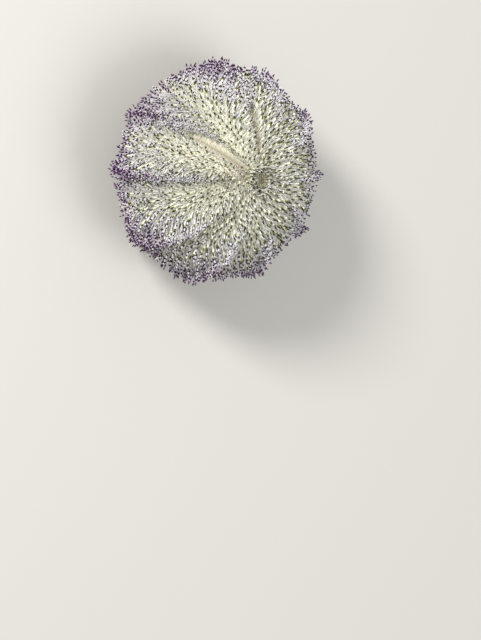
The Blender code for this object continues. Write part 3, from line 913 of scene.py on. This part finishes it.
vent_plates = joined_copies("periproct_plates", small_plates)
bpy.ops.object.shade_smooth()
vent_plates.data.materials.append(plate_skin)
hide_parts("periproct")
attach(vent_plates, "root")

# The peristome. It is the soft skin round the mouth, in ring folds, with a thick lip round the teeth. Ten
# short tube feet with broad suckers stand on it in pairs, and ten small bushy gills sit at its rim.
RIM_HEIGHT = float(test_outline(latitude_of_radius(PERISTOME_RADIUS, -1))[1])
PERISTOME_RINGS = (
    (9.55, 0.0),
    (9.0, 0.45),
    (8.4, 0.75),
    (7.8, 0.9),
    (7.2, 1.0),
    (6.6, 1.05),
    (6.0, 1.1),
    (5.4, 1.12),
    (4.8, 1.08),
    (4.2, 0.95),
    (3.7, 0.7),
    (3.3, 0.35),
    (3.0, 0.1),
    (2.75, 0.0),
    (2.5, 0.15),
    (2.4, 0.6),
    (2.3, 1.6),
    (1.2, 2.4),
)
PERISTOME_SIDES = 80
RING_FOLDS = 5.2
LIP_FOLDS = 15
FOLD_HEIGHT = 0.12 * MM
LIP_RADIUS = 4.4 * MM
LIP_BLEND = 1.5 * MM
FOOT_SIDES = 8
FOOT_RINGS = (
    (0.12, 1.05),
    (0.3, 0.8),
    (0.55, 0.72),
    (0.8, 0.7),
    (0.86, 1.15),
    (0.93, 1.55),
    (1.0, 1.4),
    (1.0, 0.7),
)
SUCKER_SPAN = (0.86, 0.96)
BUCCAL_LIFT = 1.0 * MM
BUCCAL_LEAN = 0.2
BUCCAL_DISTANCE = 5.4 * MM
BUCCAL_LENGTH = 2.9 * MM
BUCCAL_RADIUS = 0.42 * MM
BUCCAL_SPREAD = 8.0
GILL_SEED = 52
GILL_DISTANCE = 8.4 * MM
GILL_LIFT = 0.7 * MM
GILL_TURN = 5.0
GILL_DRIFT = 0.4
GILL_LEAN = 0.2
GILL_WILDNESS = 0.45
GILL_CURL = 0.15
GILL_SIDES = 5
GILL_FINGERS = 9
GILL_RINGS = ((0.4, 1.0), (0.75, 0.9), (1.0, 0.45))
GILL_LENGTH = (1.2 * MM, 2.4 * MM)
GILL_RADIUS = 0.19 * MM
MEMBRANE_TAN = (224, 208, 184)
MEMBRANE_BROWN = (112, 86, 70)
FOOT_PALE = (226, 222, 210)
SUCKER_RIM = (190, 182, 172)
GILL_PINK = (206, 172, 154)


def outwards(turn):
    """Level directions away from the animal's axis at these angles, as an array of three columns."""
    return np.column_stack([np.cos(turn), np.sin(turn), np.zeros_like(turn)])


peristome = ringed_skin("peristome_membrane", PERISTOME_RINGS, PERISTOME_SIDES, RIM_HEIGHT)
dish = point_array(peristome.data)
dish_radius = np.hypot(dish[:, 0], dish[:, 1])
turns = np.arctan2(dish[:, 1], dish[:, 0])
inner_share = np.clip((LIP_RADIUS - dish_radius) / LIP_BLEND, 0.0, 1.0)
ripple = np.sin(dish_radius / MM * RING_FOLDS) * (1 - inner_share) + np.sin(turns * LIP_FOLDS) * inner_share
dish[:, 2] += ripple * FOLD_HEIGHT * (dish_radius < PERISTOME_RADIUS)
move_points(peristome.data, dish)
bpy.ops.object.mode_set(mode="EDIT")
bpy.ops.mesh.select_all(action="SELECT")
bpy.ops.mesh.flip_normals()
bpy.ops.object.mode_set(mode="OBJECT")
bpy.ops.object.shade_smooth()
membrane, tree, shader = wet_material("moist mouth membrane", roughness=0.32)
mottle = mottle_of(tree, scale=600.0, detail=6.0)
tree.links.new(mixed(tree, mottle, MEMBRANE_TAN, MEMBRANE_BROWN), shader.inputs["Base Color"])
let_light_in(shader, weight=0.2, spread=(1.0, 0.75, 0.6), depth=0.8 * MM)
roughen(tree, shader, mottle, strength=0.5, distance=0.2 * MM)
peristome.data.materials.append(membrane)
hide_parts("peristome")
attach(peristome, "root")

foot_template = template_of(turned_rod("tube foot", FOOT_SIDES, FOOT_RINGS), PLAIN_PATCH)
tube_foot_skin, tree, shader = wet_material("translucent tube foot", roughness=0.28)
sucker = tree.nodes.new("ShaderNodeMapRange")
set_inputs(sucker, {"From Min": SUCKER_SPAN[0], "From Max": SUCKER_SPAN[1]})
tree.links.new(attribute_of(tree, "share"), sucker.inputs["Value"])
tree.links.new(mixed(tree, sucker.outputs["Result"], FOOT_PALE, SUCKER_RIM), shader.inputs["Base Color"])
let_light_in(shader, weight=0.3, spread=(1.0, 0.7, 0.5), depth=0.5 * MM)
ambulacra = [(edge, end) for column, edge, _, end in columns if column.startswith("amb")]
middles = [(edge + end) / 2 for edge, end in ambulacra]
feet_azimuth = np.array([middle + side * BUCCAL_SPREAD for middle in middles for side in (-1, 1)])
feet_out = outwards(np.radians(feet_azimuth))
feet_root = feet_out * BUCCAL_DISTANCE + np.array([0, 0, RIM_HEIGHT + BUCCAL_LIFT])
feet_along = (feet_out * BUCCAL_LEAN - np.array([0, 0, 1.0])) * BUCCAL_LENGTH
buccal_feet = planted(
    "buccal_tube_feet",
    foot_template,
    feet_root,
    feet_along,
    np.full(len(feet_root), BUCCAL_RADIUS),
    SPINE_ROOT,
    np.zeros_like(feet_along),
    plan_patches(feet_root, PERISTOME_RADIUS),
    height_share(len(feet_root)),
)
buccal_feet.data.materials.append(tube_foot_skin)
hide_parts("peristome")
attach(buccal_feet, "root")

gill_template = template_of(turned_rod("gill finger", GILL_SIDES, GILL_RINGS), PLAIN_PATCH)
gill_skin, tree, shader = wet_material("gill skin", roughness=0.35)
colour = mixed(tree, attribute_of(tree, "share"), MEMBRANE_TAN, GILL_PINK)
tree.links.new(colour, shader.inputs["Base Color"])
chance = np.random.default_rng(GILL_SEED)
gill_azimuth = np.repeat(np.array(ambulacra).ravel(), GILL_FINGERS)
gill_azimuth += chance.uniform(-GILL_TURN, GILL_TURN, len(gill_azimuth))
gill_out = outwards(np.radians(gill_azimuth))
gill_drift = chance.uniform(-GILL_DRIFT, GILL_DRIFT, len(gill_out)) * MM
gill_root = gill_out * (GILL_DISTANCE + gill_drift)[:, None]
gill_root[:, 2] = RIM_HEIGHT + GILL_LIFT
gill_along = chance.normal(0, GILL_WILDNESS, gill_root.shape) + gill_out * GILL_LEAN - np.array([0, 0, 1.0])
gill_length = chance.uniform(*GILL_LENGTH, len(gill_root))
gill_along *= (gill_length / np.linalg.norm(gill_along, axis=1))[:, None]
gills = planted(
    "gills",
    gill_template,
    gill_root,
    gill_along,
    np.full(len(gill_root), GILL_RADIUS),
    SPINE_ROOT,
    chance.normal(0, GILL_CURL, gill_root.shape) * gill_length[:, None],
    plan_patches(gill_root, PERISTOME_RADIUS),
    height_share(len(gill_root)),
)
gills.data.materials.append(gill_skin)
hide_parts("peristome")
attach(gills, "root")

# The teeth. Five hard white chisels of calcite slide down between the jaws and close to one point in the
# middle of the mouth. They wear at the tip and grow on from above.
TOOTH_THICKNESS = 0.75
TOOTH_WIDTH = 0.7
TOOTH_TIP = (0.3, 0.55)
TOOTH_TIP_AT = 0.2
TOOTH_BEVEL = 0.12 * MM
TOOTH_CREASE = math.radians(40)
TOOTH_TONE = (236, 234, 222)
TOOTH_FOOT = (206, 196, 170)
teeth_finish, tree, shader = wet_material("polished calcite", roughness=0.18)
mottle = mottle_of(tree, scale=1500.0, detail=2.0)
tree.links.new(mixed(tree, mottle, TOOTH_TONE, TOOTH_FOOT), shader.inputs["Base Color"])
for number in range(1, 6):
    low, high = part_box(f"tooth_{number}")
    middle = (low + high) / 2
    angle = math.atan2(middle.y, middle.x)
    reach = math.hypot(middle.x, middle.y) * 2
    height = high.z - low.z
    bpy.ops.object.select_all(action="DESELECT")
    bpy.ops.mesh.primitive_cube_add(size=1.0, location=(reach / 2, 0, middle.z))
    tooth = bpy.context.object
    tooth.name = f"tooth_blade_{number}"
    tooth.scale = (reach * TOOTH_THICKNESS, reach * TOOTH_WIDTH, height)
    bpy.ops.object.transform_apply(location=True, rotation=True, scale=True)
    for vertex in tooth.data.vertices:
        vertex.select = vertex.co.z < middle.z
    bpy.ops.object.mode_set(mode="EDIT")
    bpy.ops.transform.resize(value=(*TOOTH_TIP, 1.0), center_override=(reach * TOOTH_TIP_AT, 0, middle.z))
    bpy.ops.mesh.select_all(action="SELECT")
    bpy.ops.mesh.bevel(offset=TOOTH_BEVEL, segments=2, affect="EDGES")
    bpy.ops.object.mode_set(mode="OBJECT")
    tooth.data.transform(Matrix.Rotation(angle, 4, "Z"))
    bpy.ops.object.shade_smooth_by_angle(angle=TOOTH_CREASE)
    tooth.data.materials.append(teeth_finish)
    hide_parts(f"tooth_{number}")
    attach(tooth, "root")

# The tube feet. They are slender, translucent stalks that come out through pores along both sides of each
# ambulacrum, reach between and past the spines, and end in a sucker. Those of the upper half are drawn in.
FEET_SEED = 61
FOOT_LATITUDES = (-62.0, 12.0)
FEET_IN_SERIES = 17
FOOT_JITTER = 1.5
FOOT_LENGTH = (3.5 * MM, 7.0 * MM)
FOOT_RADIUS = 0.2 * MM
FOOT_INSET = 1.3 * MM
FOOT_DROOP = 0.5
FOOT_WILDNESS = 0.3
FOOT_CURL = 0.18
FOOT_CLEARANCE = 0.5 * MM

chance = np.random.default_rng(FEET_SEED)
for column, edge, _, end in columns:
    if not column.startswith("amb"):
        continue
    series = np.linspace(*FOOT_LATITUDES, FEET_IN_SERIES)
    latitude = np.concatenate([series, series])
    latitude += chance.uniform(-FOOT_JITTER, FOOT_JITTER, len(latitude))
    inset = np.degrees(FOOT_INSET / test_outline(latitude)[0])
    azimuth = np.where(np.arange(len(latitude)) < FEET_IN_SERIES, edge + inset, end - inset)
    root, outward, upward, _ = surface_frame(latitude, azimuth)
    along = outward - upward * FOOT_DROOP + chance.normal(0, FOOT_WILDNESS, root.shape)
    length = chance.uniform(*FOOT_LENGTH, len(latitude))
    along *= (length / np.linalg.norm(along, axis=1))[:, None]
    fit = share_above_floor(root, along, FOOT_CLEARANCE)
    along *= fit[:, None]
    length = length * fit
    feet = planted(
        "tube_feet_" + column,
        foot_template,
        root,
        along,
        np.full(len(root), FOOT_RADIUS),
        SPINE_ROOT,
        chance.normal(0, FOOT_CURL, root.shape) * length[:, None],
        bake_patches(edge, end, latitude, azimuth),
        height_share(len(root)),
    )
    feet.data.materials.append(tube_foot_skin)
    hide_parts(column)
    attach(feet, "root")

# The floor, a plain pale table top, and the soft light of a studio. The camera looks down on the animal from
# one side, as in the photograph's upper picture, and keeps its place in the frame.
FLOOR_SIZE = 6.0
FLOOR_TONE = (200, 197, 190)
CAMERA_DISTANCE = 1.0
CAMERA_TILT = 34.5
CAMERA_ROLL = 10.5
FRAME_WIDTH = 481
FRAME_HEIGHT = 640
METRES_PER_PIXEL = 0.0003646
AXIS_PIXEL = (215.5, 172.0)
SENSOR = 36.0
FAR_CLIP = 50.0
SKY_TONE = (240, 242, 246)
SKY_STRENGTH = 0.55

# Each light with its direction, as shares to the right, up and towards the camera, its distance and size in
# metres, and its power in watts
LIGHTS = (
    ("key", (-0.3, 0.42, 0.87), 1.2, 0.3, 17.5),
    ("fill", (0.8, -0.4, 0.5), 1.4, 1.0, 9.0),
)

bpy.ops.object.select_all(action="DESELECT")
bpy.ops.mesh.primitive_plane_add(size=FLOOR_SIZE)
floor = bpy.context.object
floor.name = "floor"
pale, tree, shader = wet_material("pale table", roughness=0.8, specular=0.2)
shader.inputs["Base Color"].default_value = tone(FLOOR_TONE)
floor.data.materials.append(pale)

tilt, roll = math.radians(CAMERA_TILT), math.radians(CAMERA_ROLL)
level_right = Vector((math.cos(tilt), 0, math.sin(tilt)))
level_up = Vector((0, 1, 0))
backward = Vector((-math.sin(tilt), 0, math.cos(tilt)))
right = level_right * math.cos(roll) + level_up * math.sin(roll)
up = level_up * math.cos(roll) - level_right * math.sin(roll)
target = Vector((0, 0, WIDEST_HEIGHT))
focal_pixels = CAMERA_DISTANCE / METRES_PER_PIXEL
sight = Vector((AXIS_PIXEL[0] - FRAME_WIDTH / 2, FRAME_HEIGHT / 2 - AXIS_PIXEL[1], -focal_pixels))
swing = sight.rotation_difference(Vector((0, 0, -1))).to_matrix()
facing = Matrix((right, up, backward)).transposed() @ swing
lens = bpy.data.cameras.new("camera")
lens.sensor_width = SENSOR
lens.lens = focal_pixels * SENSOR / FRAME_HEIGHT
lens.clip_end = FAR_CLIP
camera = bpy.data.objects.new("camera", lens)
camera.matrix_world = Matrix.Translation(target + backward * CAMERA_DISTANCE) @ facing.to_4x4()
bpy.context.scene.collection.objects.link(camera)
bpy.context.scene.camera = camera
for name, (rightwards, upwards, towards_camera), distance, size, power in LIGHTS:
    panel = bpy.data.lights.new(name, "AREA")
    panel.shape = "DISK"
    panel.size = size
    panel.energy = power
    lamp = bpy.data.objects.new(name, panel)
    direction = right * rightwards + up * upwards + backward * towards_camera
    lamp.location = target + direction.normalized() * distance
    lamp.rotation_euler = direction.to_track_quat("Z", "Y").to_euler()
    bpy.context.scene.collection.objects.link(lamp)
studio = bpy.data.worlds.new("studio")
studio.use_nodes = True
set_inputs(studio.node_tree.nodes["Background"], {"Color": tone(SKY_TONE), "Strength": SKY_STRENGTH})
bpy.context.scene.world = studio
bpy.context.scene.view_settings.view_transform = "Standard"
